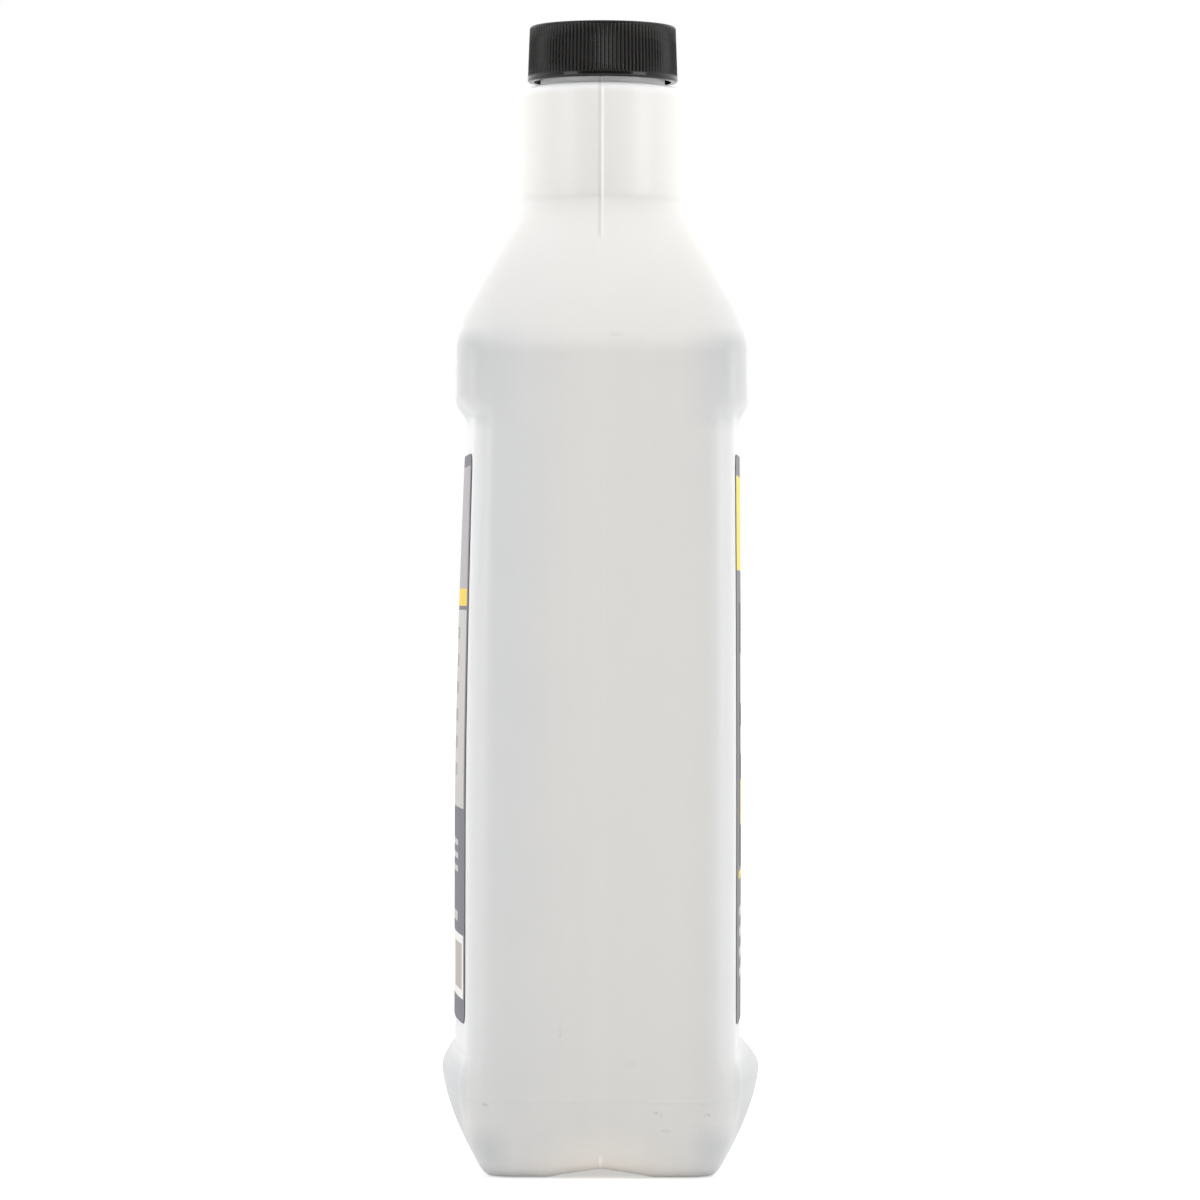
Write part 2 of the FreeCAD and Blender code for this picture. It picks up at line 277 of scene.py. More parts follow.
def ridge(angle, z, bottom, turns, foot, crest, depth):
    """Height of a right-hand screw ridge at an angle and a height."""
    height = np.zeros(np.broadcast(angle, z).shape)
    for turn in range(math.ceil(turns) + 1):
        travelled = np.mod(angle, 2.0 * math.pi) + 2.0 * math.pi * turn
        middle = bottom + PITCH * travelled / (2.0 * math.pi)
        whole = 2.0 * math.pi * turns
        ends = np.minimum(travelled, whole - travelled) / RUN_OUT_ANGLE
        run_in = np.sin(0.5 * math.pi * np.clip(ends, 0.0, 1.0))
        flank = (foot / 2.0 - np.abs(z - middle)) / ((foot - crest) / 2.0)
        height = np.maximum(height, depth * np.minimum(np.clip(flank, 0.0, 1.0), run_in))
    return height


def neck_radius_at(z):
    """Radius of the neck and finish at height z."""
    share = np.clip((z - NECK_TOP) / (FINISH_BOTTOM - NECK_TOP), 0.0, 1.0)
    rounded = FINISH_RADIUS + (NECK_RADIUS - FINISH_RADIUS) * np.sqrt(1.0 - share ** 2)
    lip = np.clip(z - FINISH_TOP + LIP, 0.0, LIP)
    return rounded - lip


def seam_lift(off_seam, z):
    """The thin parting seam on both narrow ends, bold on the neck and faint below."""
    bold = np.clip((z - SEAM_BOLD_ABOVE + 4.0) / 6.0, 0.0, 1.0)
    tail = np.exp(-((z - SEAM_TAIL_HEIGHT) / SEAM_TAIL_REACH) ** 2)
    height = SEAM_HEIGHT * np.maximum(SEAM_FAINT + (1.0 - SEAM_FAINT) * bold, tail)
    width = SEAM_WIDTH * (2.0 - bold)
    return height * np.exp(-(off_seam / width) ** 2)


def channel_lift(y):
    """Height of the shallow channel under the base."""
    share = np.clip(1.0 - np.abs(y) / CHANNEL_HALF, 0.0, 1.0)
    arch = np.minimum(share * 1.08, 1.0 - 0.35 * (1.0 - share) ** 2)
    run_in = np.minimum(1.0, share * 4.0)
    return CHANNEL_HEIGHT * arch * run_in


def spread(start, end, count, power=1.0):
    """Values from start up to, but not including, end."""
    return [start + (end - start) * (step / count) ** power for step in range(count)]


def body_rows():
    """Heights of the outer rings up to the neck, close together where the form turns."""
    rows = spread(0.0, 14.3, 20, 1.6) + spread(14.3, 15.5, 8) + spread(15.5, FOOT_TOP, 5)
    rows += spread(FOOT_TOP, FLARE_TOP, 14) + spread(FLARE_TOP, FLARE_TOP + 0.8, 2)
    rows += spread(FLARE_TOP + 0.8, PANEL_TOP - 0.8, 34) + spread(PANEL_TOP - 0.8, PANEL_TOP, 2)
    rows += spread(PANEL_TOP, BAND_BOTTOM, 12) + spread(BAND_BOTTOM, 157.0, 4)
    rows += spread(157.0, 172.0, 24) + spread(172.0, 189.0, 12) + spread(189.0, 196.0, 24) + [196.0]
    return np.array(rows)[:, None]


def neck_rows():
    """Heights of the outer rings from the neck to the lip."""
    rows = spread(197.5, NECK_TOP, 9)
    rounding = FINISH_BOTTOM - NECK_TOP
    rows += [NECK_TOP + rounding * math.sin(math.pi / 2.0 * step / 12) for step in range(12)]
    rows += spread(FINISH_BOTTOM, FINISH_TOP - LIP, 38) + [FINISH_TOP - LIP, FINISH_TOP]
    return np.array(rows)[:, None]


def stack(x, y, z):
    """Rings of points from matching rows of x, y and z."""
    return np.stack([x, y, z + 0.0 * x], axis=-1)


def outer_rings():
    """Outer wall from the foot to the lip, with the seam and the mould line."""
    body_z = body_rows()
    x, y = outline(body_z, 0.0)
    neck_z = neck_rows()
    angle = np.arctan2(y[-1], x[-1])[None, :]
    thread = ridge(angle, neck_z, THREAD_BOTTOM, THREAD_TURNS, THREAD_FOOT, THREAD_CREST, THREAD_DEPTH)
    radius = neck_radius_at(neck_z) + np.where(neck_z > FINISH_BOTTOM, thread, 0.0)
    x = np.concatenate([x, radius * np.cos(angle)])
    y = np.concatenate([y, radius * np.sin(angle)])
    z = np.concatenate([body_z, neck_z])
    line = MOULD_LINE_HEIGHT * np.exp(-((z - MOULD_LINE) / MOULD_LINE_WIDTH) ** 2)
    outward = np.sign(x) * (seam_lift(np.abs(y), z) - line)
    raised = channel_lift(y) * np.clip(1.0 - z / FOOT_TOP, 0.0, 1.0)
    return stack(x + outward, y, z + raised)


def inner_rings(angle):
    """Inner wall from the lip down to the floor."""
    top = FINISH_BOTTOM - WALL
    neck_z = [FINISH_TOP] + spread(FINISH_TOP - 0.5, top, 4)
    neck_z += [top - (FINISH_BOTTOM - NECK_TOP) * step / 6 for step in range(6)]
    neck_z = np.array(neck_z + spread(NECK_TOP - WALL, SHOULDER_TOP + 1.0, 4))[:, None]
    share = np.clip((neck_z - NECK_TOP + WALL) / (top - NECK_TOP + WALL), 0.0, 1.0)
    radius = BORE_RADIUS + (NECK_RADIUS - WALL - BORE_RADIUS) * np.sqrt(1.0 - share ** 2)
    neck = stack(radius * np.cos(angle), radius * np.sin(angle), neck_z)
    body_z = spread(SHOULDER_TOP, SHOULDER_KNEE + 6.0, 8)
    body_z += spread(SHOULDER_KNEE + 6.0, SHOULDER_KNEE - 8.0, 8)
    body_z += spread(SHOULDER_KNEE - 8.0, FLARE_TOP, 14) + spread(FLARE_TOP, FLOOR + 1.0, 10)
    body_z = np.array(body_z)[:, None]
    x, y = outline(body_z, WALL)
    raised = channel_lift(y) * np.clip(1.0 - body_z / FOOT_TOP, 0.0, 1.0)
    return np.concatenate([neck, stack(x, y, body_z + raised)])


def shrunk_rings(ring, shares, height):
    """Rings that shrink towards the axis from the last ring, at a height raised over the channel."""
    rings = []
    for share in shares:
        x = ring[:, 0] * share
        y = ring[:, 1] * share
        rings.append(np.stack([x, y, height + channel_lift(y)], axis=-1))
    return np.array(rings)


def grid_faces(rows, columns, start=0, flip=False):
    """Quads between consecutive rings of a closed grid."""
    faces = []
    for row in range(rows - 1):
        for column in range(columns):
            across = (column + 1) % columns
            a = start + row * columns + column
            b = start + row * columns + across
            quad = [a, b, b + columns, a + columns]
            faces.append(quad[::-1] if flip else quad)
    return faces


def make_mesh(name, points, faces, body, replaces):
    """New piece from points in millimetres, riding on a body and standing for a CAD node."""
    mesh = bpy.data.meshes.new(name)
    mesh.from_pydata((np.asarray(points) * MM).tolist(), [], faces)
    mesh.validate()
    mesh.update()
    piece = bpy.data.objects.new(name, mesh)
    bpy.context.scene.collection.objects.link(piece)
    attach(piece, body)
    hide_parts(replaces)
    return piece


def shade_by_angle(piece, degrees):
    bpy.context.view_layer.objects.active = piece
    piece.select_set(True)
    bpy.ops.object.shade_smooth_by_angle(angle=math.radians(degrees))
    piece.select_set(False)


def ring_points(angles, radii, heights):
    return np.stack([radii * np.cos(angles), radii * np.sin(angles), heights], axis=-1)


def make_bottle():
    """Outer wall, mouth, inner wall and base as one closed skin."""
    outer = outer_rings()
    columns = outer.shape[1]
    angle = np.arctan2(outer[-1, :, 1], outer[-1, :, 0])[None, :]
    inner = inner_rings(angle)
    floor = shrunk_rings(inner[-1], (0.85, 0.6, 0.35, 0.1), FLOOR)
    skin = np.concatenate([outer, inner, floor])
    under = shrunk_rings(outer[0], (0.97, 0.9, 0.75, 0.6, 0.45, 0.3, 0.15, 0.04), 0.0)
    start = skin.shape[0] * columns
    points = np.concatenate([skin, under]).reshape(-1, 3)

    faces = grid_faces(skin.shape[0], columns)
    faces.append([start - columns + column for column in range(columns)])
    for column in range(columns):
        across = (column + 1) % columns
        faces.append([start + column, start + across, across, column])
    faces += grid_faces(under.shape[0], columns, start, flip=True)
    faces.append([len(points) - columns + column for column in reversed(range(columns))])
    bottle = make_mesh("bottle_shell", points, faces, "bottle", "bottle")
    shade_by_angle(bottle, 38.0)
    return bottle


def panel_surface(x, z, side):
    """Y of a label panel's surface."""
    rise = crown(z, side)
    half_chord = HALF_WIDTH - END_CROWN - CORNER
    radius = (half_chord ** 2 + rise ** 2) / (2.0 * rise)
    return side * (half_depth(z, side) - radius + np.sqrt(radius ** 2 - x ** 2))


def make_label(name, side, replaces):
    """Thin film on a recessed panel, with rounded corners and a real edge."""
    corner_rows = [LABEL_CORNER * (1.0 - math.cos(math.pi / 2.0 * step / 8)) for step in range(9)]
    rows = [LABEL_LOW + rise for rise in corner_rows]
    rows += spread(LABEL_LOW + LABEL_CORNER, LABEL_HIGH - LABEL_CORNER, 44)[1:]
    rows += [LABEL_HIGH - rise for rise in reversed(corner_rows)]
    z = np.array(rows)[:, None]
    into_corner = np.maximum(LABEL_CORNER - np.minimum(z - LABEL_LOW, LABEL_HIGH - z), 0.0)
    reach = LABEL_HALF_WIDTH - LABEL_CORNER + np.sqrt(LABEL_CORNER ** 2 - into_corner ** 2)
    x = reach * np.linspace(-1.0, 1.0, 61)[None, :]
    z = z + 0.0 * x
    layers = []
    for lift in (LABEL_ADHESIVE + LABEL_THICKNESS, LABEL_ADHESIVE):
        y = panel_surface(x, z, side) + side * lift
        layers.append(np.stack([x, y, z], axis=-1).reshape(-1, 3))
    row_count, columns = x.shape
    count = row_count * columns
    faces = []
    for row in range(row_count - 1):
        for column in range(columns - 1):
            a = row * columns + column
            quad = [a, a + 1, a + columns + 1, a + columns]
            face = quad if side == FRONT else quad[::-1]
            faces.append(face)
            faces.append([index + count for index in reversed(face)])
    rim = list(range(columns))
    rim += [row * columns + columns - 1 for row in range(1, row_count)]
    rim += [(row_count - 1) * columns + column for column in reversed(range(columns - 1))]
    rim += [row * columns for row in reversed(range(1, row_count - 1))]
    for a, b in zip(rim, rim[1:] + rim[:1]):
        quad = [b, a, a + count, b + count]
        faces.append(quad if side == FRONT else quad[::-1])
    label = make_mesh(name, np.concatenate(layers), faces, "bottle", replaces)
    shade_by_angle(label, 40.0)
    return label


def cap_outer_radius(angle, z):
    """Ribbed skirt over a plain lower band, with a rounded top edge."""
    share = np.clip((z - CAP_BAND_TOP) / (CAP_TOP - CAP_EDGE - CAP_BAND_TOP), 0.0, 1.0)
    low = CAP_RADIUS - CAP_STEP
    skirt = low - CAP_TAPER * share
    wave = 0.5 + 0.5 * np.cos(CAP_RIBS * angle)
    depth = CAP_RIB_DEPTH * np.clip((z - CAP_BAND_TOP) / CAP_RIB_START, 0.0, 1.0)
    depth = depth * np.clip((CAP_TOP - CAP_RIB_END - z) / CAP_RIB_FADE, 0.0, 1.0)
    ribbed = skirt - depth * (1.0 - wave ** CAP_RIB_ROUNDNESS)
    edge = np.clip((z - CAP_TOP + CAP_EDGE) / CAP_EDGE, 0.0, 1.0)
    ribbed = ribbed - CAP_EDGE * (1.0 - np.sqrt(1.0 - edge ** 2)) - CAP_EDGE_DRAW * edge
    chamfer = CAP_CHAMFER - np.clip(z - CAP_BOTTOM, 0.0, CAP_CHAMFER)
    return np.where(z <= CAP_BAND_TOP, CAP_RADIUS - chamfer * 0.8, ribbed)


def cap_thread_start():
    """Height and angle where the cap's thread starts, below the neck's thread."""
    share = (CAP_BORE - CAP_THREAD_DEPTH - FINISH_RADIUS) / THREAD_DEPTH
    neck_width = THREAD_FOOT + (THREAD_CREST - THREAD_FOOT) * share
    bottom = THREAD_BOTTOM - (neck_width + CAP_THREAD_CREST) / 2.0 - CAP_THREAD_GAP
    lowest = CAP_BOTTOM + CAP_THREAD_FOOT / 2.0 + CAP_CHAMFER
    turns = max(0.0, (lowest - bottom) / PITCH)
    return bottom + PITCH * turns, 2.0 * math.pi * turns


def cap_rows():
    """Heights of the cap's outer rings, close together at the band and at the top edge."""
    edge_bottom = CAP_TOP - CAP_EDGE
    ribs_full = CAP_BAND_TOP + 0.36
    ribs_fade = edge_bottom - 0.4
    edge = [edge_bottom + CAP_EDGE * math.sin(math.pi / 2.0 * step / 7) for step in range(8)]
    rows = spread(CAP_BOTTOM, CAP_BOTTOM + CAP_CHAMFER, 3)
    rows += spread(CAP_BOTTOM + CAP_CHAMFER, CAP_BAND_TOP, 3)
    rows += [CAP_BAND_TOP] + spread(CAP_BAND_TOP + 0.02, ribs_full, 4)
    rows += spread(ribs_full, ribs_fade, 6) + spread(ribs_fade, edge[0], 3)
    rows += edge
    return np.array(rows)[:, None]


def closing_rings(angles, radius, shares, height):
    """Flat rings that shrink towards the axis."""
    return [ring_points(angles, radius * share, height + 0.0 * angles)[None, :, :] for share in shares]


def cap_outside(angles):
    """Points of the skirt and the top, from the rim upwards."""
    z = cap_rows()
    outer = cap_outer_radius(angles[None, :], z)
    rings = [ring_points(angles[None, :], outer, z + 0.0 * outer)]
    rings += closing_rings(angles, outer[-1].min(), (0.97, 0.9, 0.6, 0.25, 0.05), CAP_TOP)
    return np.concatenate(rings).reshape(-1, 3)


def cap_inside(angles):
    """Points of the threaded bore and the ceiling, from the rim upwards."""
    z = np.array([CAP_BOTTOM] + spread(CAP_BOTTOM + 0.2, CAP_CEILING, 30) + [CAP_CEILING])[:, None]
    start_z, start_angle = cap_thread_start()
    thread = ridge(
        angles[None, :] - start_angle, z, start_z, CAP_THREAD_TURNS,
        CAP_THREAD_FOOT, CAP_THREAD_CREST, CAP_THREAD_DEPTH,
    )
    inner = CAP_BORE - thread
    rings = [ring_points(angles[None, :], inner, z + 0.0 * inner)]
    rings += closing_rings(angles, CAP_BORE, (0.7, 0.3, 0.05), CAP_CEILING)
    return np.concatenate(rings).reshape(-1, 3)


def make_cap():
    """Skirt, top, threaded bore and ceiling as one closed skin."""
    columns = CAP_RIBS * 7
    angles = 2.0 * math.pi * np.arange(columns) / columns
    outside = cap_outside(angles)
    inside = cap_inside(angles)
    start = len(outside)
    end = start + len(inside)
    faces = grid_faces(len(outside) // columns, columns)
    faces.append([start - columns + column for column in range(columns)])
    faces += grid_faces(len(inside) // columns, columns, start, flip=True)
    faces.append([end - columns + column for column in reversed(range(columns))])
    for column in range(columns):
        across = (column + 1) % columns
        faces.append([start + column, start + across, across, column])
    points = np.concatenate([outside, inside])
    cap = make_mesh("cap_ribbed", points, faces, "cap", "cap")
    shade_by_angle(cap, 50.0)
    return cap


class Nodes:
    """Small helper for building a node material."""

    def __init__(self, name):
        self.material = bpy.data.materials.new(name)
        self.material.use_nodes = True
        self.tree = self.material.node_tree
        self.shader = self.tree.nodes["Principled BSDF"]
        self.place = self.add("ShaderNodeTexCoord").outputs["Object"]

    def add(self, kind, **settings):
        made = self.tree.nodes.new(kind)
        for key, value in settings.items():
            setattr(made, key, value)
        return made

    def feed(self, value, socket):
        if isinstance(value, bpy.types.NodeSocket):
            self.tree.links.new(value, socket)
        else:
            socket.default_value = value

    def math(self, operation, a, b=0.0, clamp=False):
        made = self.add("ShaderNodeMath", operation=operation, use_clamp=clamp)
        self.feed(a, made.inputs[0])
        self.feed(b, made.inputs[1])
        return made.outputs[0]

    def mix(self, share, a, b):
        made = self.add("ShaderNodeMix", data_type="RGBA")
        self.feed(share, made.inputs[0])
        self.feed(a, made.inputs[6])
        self.feed(b, made.inputs[7])
        return made.outputs[2]

    def times(self, first, *others):
        """Product of shares."""
        product = first
        for other in others:
            product = self.math("MULTIPLY", product, other)
        return product

    def noise(self, scale, detail, stretch=(1.0, 1.0, 1.0)):
        mapping = self.add("ShaderNodeMapping")
        self.feed(self.place, mapping.inputs["Vector"])
        mapping.inputs["Scale"].default_value = stretch
        made = self.add("ShaderNodeTexNoise")
        self.feed(mapping.outputs[0], made.inputs["Vector"])
        made.inputs["Scale"].default_value = scale
        made.inputs["Detail"].default_value = detail
        return made.outputs[0]

    def ramp(self, value, low, high):
        """0 at low, 1 at high and straight between them."""
        made = self.add("ShaderNodeMapRange", clamp=True)
        self.feed(value, made.inputs[0])
        made.inputs[1].default_value = low
        made.inputs[2].default_value = high
        return made.outputs[0]

    def axes(self):
        """X, Y and Z of the surface, in metres."""
        made = self.add("ShaderNodeSeparateXYZ")
        self.feed(self.place, made.inputs[0])
        return made.outputs[0], made.outputs[1], made.outputs[2]

    def bump(self, layers):
        """Chain of bumps from (height, strength, distance in metres)."""
        normal = None
        for height, strength, distance in layers:
            made = self.add("ShaderNodeBump")
            made.inputs["Strength"].default_value = strength
            made.inputs["Distance"].default_value = distance
            self.feed(height, made.inputs["Height"])
            if normal is not None:
                self.feed(normal, made.inputs["Normal"])
            normal = made.outputs[0]
        self.feed(normal, self.shader.inputs["Normal"])

    def spot(self, centre, radius, softness, stretch):
        """1 within a small mark, 0 away from it."""
        away = self.add("ShaderNodeVectorMath", operation="SUBTRACT")
        self.feed(self.place, away.inputs[0])
        away.inputs[1].default_value = centre
        offset = self.add("ShaderNodeVectorMath", operation="DISTANCE")
        scaled = self.add("ShaderNodeVectorMath", operation="MULTIPLY")
        self.feed(away.outputs[0], scaled.inputs[0])
        scaled.inputs[1].default_value = stretch
        self.feed(scaled.outputs[0], offset.inputs[0])
        edge = self.add("ShaderNodeMapRange", clamp=True)
        self.feed(offset.outputs["Value"], edge.inputs[0])
        edge.inputs[1].default_value = radius * (1.0 - softness)
        edge.inputs[2].default_value = radius * (1.0 + softness)
        edge.inputs[3].default_value = 1.0
        edge.inputs[4].default_value = 0.0
        return edge.outputs[0]

    def band(self, value, least, most, soft):
        """1 between two values in metres, 0 outside them, with soft edges."""
        rise = self.ramp(value, least - soft, least + soft)
        fall = self.ramp(value, most + soft, most - soft)
        return self.times(rise, fall)

    def bar(self, x, z, low, high):
        """1 inside a rectangle from low (x, z) to high (x, z), given in millimetres."""
        soft = 0.00006
        across = self.band(x, low[0] * MM, high[0] * MM, soft)
        up = self.band(z, low[1] * MM, high[1] * MM, soft)
        return self.times(across, up)


def grey(level):
    return (level, level, level, 1.0)


# Bottle colours: painted highlight along the corners, painted shade on the sides of the foot, band and
# base, and painted light on the shoulder, the finish, the seam and the base
COOL_WHITE = (0.690, 0.692, 0.692, 1.0)
WARM_WHITE = (0.752, 0.730, 0.696, 1.0)
STREAK_GREY = (0.67, 0.665, 0.65, 1.0)
CORNER_HIGHLIGHT_WHITE = (0.745, 0.745, 0.740, 1.0)
FOOT_SIDE_SHADE = (0.525, 0.530, 0.540, 1.0)
BASE_SIDE_SHADE = (0.595, 0.600, 0.603, 1.0)
BAND_SIDE_SHADE = (0.645, 0.648, 0.650, 1.0)
SHOULDER_PALE_AND_TOP_LIT = (0.915, 0.890, 0.857, 1.0)
NECK_WHITE = (0.862, 0.840, 0.808, 1.0)
FINISH_PAINTED_LIGHT = (0.95, 0.95, 0.95, 1.0)
SEAM_SHADOW = (0.70, 0.68, 0.64, 1.0)
SEAM_HIGHLIGHT = (0.98, 0.975, 0.96, 1.0)
BASE_PAINTED_GLOW = (0.90, 0.83, 0.75, 1.0)
PINCH_WHITE = (0.98, 0.97, 0.95, 1.0)
SPECK_BROWN = (0.30, 0.24, 0.18, 1.0)

# Specks on the end that faces the camera: centre and radius in metres, stretch, strength
SPECKS = (
    ((-0.0525, 0.0224, 0.0145), 0.0004, (0.2, 0.8, 1.3), 0.5),
    ((-0.0525, 0.0078, 0.0283), 0.0005, (0.2, 2.0, 0.5), 0.2),
    ((-0.0525, -0.0060, 0.0225), 0.0006, (0.2, 0.7, 1.2), 0.12),
    ((-0.0525, -0.0107, 0.0130), 0.0004, (0.2, 1.0, 1.6), 0.45),
    ((-0.0525, -0.0118, 0.0126), 0.0003, (0.2, 1.5, 0.9), 0.3),
    ((-0.0525, -0.0208, 0.0126), 0.0004, (0.2, 0.8, 1.4), 0.4),
    ((-0.0525, -0.0198, 0.0146), 0.0003, (0.2, 1.2, 1.0), 0.25),
    ((-0.0525, -0.0126, 0.0095), 0.0005, (0.2, 0.7, 1.6), 0.3),
    ((-0.0523, -0.0027, 0.1640), 0.0005, (0.2, 0.5, 1.6), 0.3),
)


def wall_tone(nodes, y, streak):
    """Mottled white, warmer towards the middle of the narrow ends, with faint drawn streaks."""
    mottle = nodes.noise(34.0, 4.0)
    off_middle = nodes.math("ABSOLUTE", nodes.math("ADD", y, 0.005))
    middle = nodes.ramp(off_middle, 0.022, 0.006)
    warmth = nodes.math("ADD", nodes.times(nodes.ramp(mottle, 0.35, 0.65), 0.45), middle, clamp=True)
    colour = nodes.mix(warmth, COOL_WHITE, WARM_WHITE)
    drawn = nodes.times(nodes.ramp(streak, 0.4, 0.75), 0.25)
    return nodes.mix(drawn, colour, STREAK_GREY)


def tone_and_painted_light(nodes, colour, y, z):
    """The wall's tone from the base to the finish, zone by zone, with painted light and shade: a highlight
    along the corners, shade on the sides of the foot, band and base, light on the shoulder and under the
    cap.
    """
    aside = nodes.math("ABSOLUTE", y)
    # Painted highlight along the rounded corners
    painted_corner_highlight = nodes.times(nodes.ramp(aside, 0.0205, 0.0235), nodes.ramp(z, 0.012, 0.030))
    # Painted shade on the sides of the foot lobes
    foot_side_shade = nodes.times(nodes.ramp(aside, 0.0256, 0.0278), nodes.ramp(z, 0.0250, 0.0215))
    # Painted shade on the sides of the shoulder band
    band_side_shade = nodes.times(nodes.ramp(aside, 0.015, 0.024), nodes.band(z, 0.1465, 0.164, 0.0015))
    # Painted shade low on the sides, near the floor
    base_side_shade = nodes.times(nodes.ramp(aside, 0.0170, 0.0215), nodes.ramp(z, 0.0110, 0.0065))
    zones = (
        (painted_corner_highlight, CORNER_HIGHLIGHT_WHITE),
        (foot_side_shade, FOOT_SIDE_SHADE),
        # Paler wall over the empty headspace, lighter still with painted light from above on the upturned
        # shoulder
        (nodes.ramp(z, 0.158, 0.186), SHOULDER_PALE_AND_TOP_LIT),
        (nodes.ramp(z, 0.189, 0.194), NECK_WHITE),
        (band_side_shade, BAND_SIDE_SHADE),
        (base_side_shade, BASE_SIDE_SHADE),
        # Painted light on the finish, lifting the shade under the cap
        (nodes.ramp(z, 0.2140, 0.2155), FINISH_PAINTED_LIGHT),
    )
    for share, tint in zones:
        colour = nodes.mix(share, colour, tint)
    return colour


def paint_seam_light(nodes, colour, y, z):
    """Painted highlight along the parting seam on the neck, with a painted shadow beside it."""
    neck = nodes.ramp(z, 0.1835, 0.1855)
    seam_shadow_mask = nodes.band(y, 0.0002, 0.0009, 0.00015)
    # Painted highlight along the top of the seam ridge
    line = nodes.band(y, -0.00022, 0.00022, 0.0001)
    colour = nodes.mix(nodes.times(neck, seam_shadow_mask, 0.5), colour, SEAM_SHADOW)
    return nodes.mix(nodes.times(neck, line, 0.85), colour, SEAM_HIGHLIGHT)


def paint_base_glow_and_pinch(nodes, colour):
    """Painted warm glow of light from the floor, and a pale pinch mark, over the middle of the channel."""
    glow = nodes.spot((-0.0525, 0.0, 0.002), 0.008, 0.9, (0.2, 1.0, 1.6))
    pinch = nodes.spot((-0.0525, 0.0, 0.0028), 0.0006, 0.35, (0.2, 1.6, 0.35))
    colour = nodes.mix(nodes.times(glow, 0.7), colour, BASE_PAINTED_GLOW)
    return nodes.mix(nodes.times(pinch, 0.9), colour, PINCH_WHITE)


def tint_specks(nodes, colour):
    """Small uneven brown specks."""
    grain = nodes.ramp(nodes.noise(2600.0, 2.0), 0.35, 0.6)
    for centre, radius, stretch, strength in SPECKS:
        mark = nodes.times(nodes.spot(centre, radius, 0.8, stretch), grain, strength)
        colour = nodes.mix(mark, colour, SPECK_BROWN)
    return colour


def bottle_plastic():
    """Satin white polyethylene: soft mottling, drawn streaks, a few specks, with painted highlight, shade
    and glow in its colour.
    """
    nodes = Nodes("white_polyethylene")
    x, y, z = nodes.axes()
    streak = nodes.noise(120.0, 3.0, (1.0, 1.0, 0.03))
    colour = wall_tone(nodes, y, streak)
    colour = tone_and_painted_light(nodes, colour, y, z)
    colour = paint_seam_light(nodes, colour, y, z)
    colour = paint_base_glow_and_pinch(nodes, colour)
    colour = tint_specks(nodes, colour)
    nodes.feed(colour, nodes.shader.inputs["Base Color"])
    rough = nodes.add("ShaderNodeMapRange", clamp=True)
    nodes.feed(nodes.noise(60.0, 2.0), rough.inputs[0])
    rough.inputs[3].default_value = 0.30
    rough.inputs[4].default_value = 0.38
    nodes.feed(rough.outputs[0], nodes.shader.inputs["Roughness"])
    nodes.shader.inputs["Subsurface Weight"].default_value = 0.25
    nodes.shader.inputs["Subsurface Radius"].default_value = (1.0, 0.9, 0.8)
    nodes.shader.inputs["Subsurface Scale"].default_value = 0.003
    nodes.bump([
        (streak, 0.10, 0.0002),
        (nodes.noise(18.0, 2.0), 0.10, 0.0015),
        (nodes.noise(900.0, 2.0), 0.08, 0.00008),
    ])
    return nodes.material


CAP_BLACK = (0.0050, 0.0042, 0.0037, 1.0)
WORN_BLACK = (0.0080, 0.0069, 0.0062, 1.0)
FOAM = (0.70, 0.69, 0.66, 1.0)
PALE_FOAM = (0.78, 0.77, 0.74, 1.0)


def cap_plastic():
    """Black moulded plastic: satin on the ribs, glossier on the plain band, faintly worn."""
    nodes = Nodes("black_cap_plastic")
    x, y, z = nodes.axes()
    tone = nodes.ramp(nodes.noise(140.0, 3.0), 0.35, 0.7)
    colour = nodes.mix(tone, CAP_BLACK, WORN_BLACK)
    nodes.feed(colour, nodes.shader.inputs["Base Color"])
    worn = nodes.ramp(nodes.noise(260.0, 3.0), 0.3, 0.7)
    ribbed = nodes.ramp(z, (CAP_BAND_TOP - 0.1) * MM, CAP_BAND_TOP * MM)
    rough = nodes.math("ADD", nodes.times(worn, 0.08), nodes.times(ribbed, 0.12))
    nodes.feed(nodes.math("ADD", rough, 0.12), nodes.shader.inputs["Roughness"])
    gloss = nodes.math("SUBTRACT", 0.40, nodes.times(ribbed, 0.11))
    nodes.feed(gloss, nodes.shader.inputs["Specular IOR Level"])
    nodes.bump([(nodes.noise(1500.0, 2.0), 0.12, 0.00006)])
    return nodes.material


def liner_foam():
    """Pale matt foam with a fine grain."""
    nodes = Nodes("liner_foam")
    tone = nodes.ramp(nodes.noise(700.0, 3.0), 0.3, 0.7)
    nodes.feed(nodes.mix(tone, FOAM, PALE_FOAM), nodes.shader.inputs["Base Color"])
    nodes.shader.inputs["Roughness"].default_value = 0.7
    nodes.bump([(nodes.noise(2500.0, 2.0), 0.3, 0.0001)])
    return nodes.material


# Label colours: the front label's ground and yellow are paler, with a painted glare over its edge
SLATE = (0.115, 0.108, 0.135, 1.0)
WORN_SLATE = (0.130, 0.122, 0.150, 1.0)
LIGHT_SLATE = (0.39, 0.365, 0.385, 1.0)
GLARE_SLATE = (0.155, 0.150, 0.168, 1.0)
WORN_GLARE_SLATE = (0.172, 0.167, 0.184, 1.0)
DEEP_SLATE = (0.065, 0.060, 0.078, 1.0)
YELLOW = (0.82, 0.56, 0.002, 1.0)
GLARE_YELLOW = (0.86, 0.66, 0.06, 1.0)
PALE = (0.52, 0.50, 0.475, 1.0)
FAINT = (0.33, 0.31, 0.32, 1.0)
WHITE = (0.79, 0.78, 0.76, 1.0)
TAN = (0.43, 0.375, 0.335, 1.0)


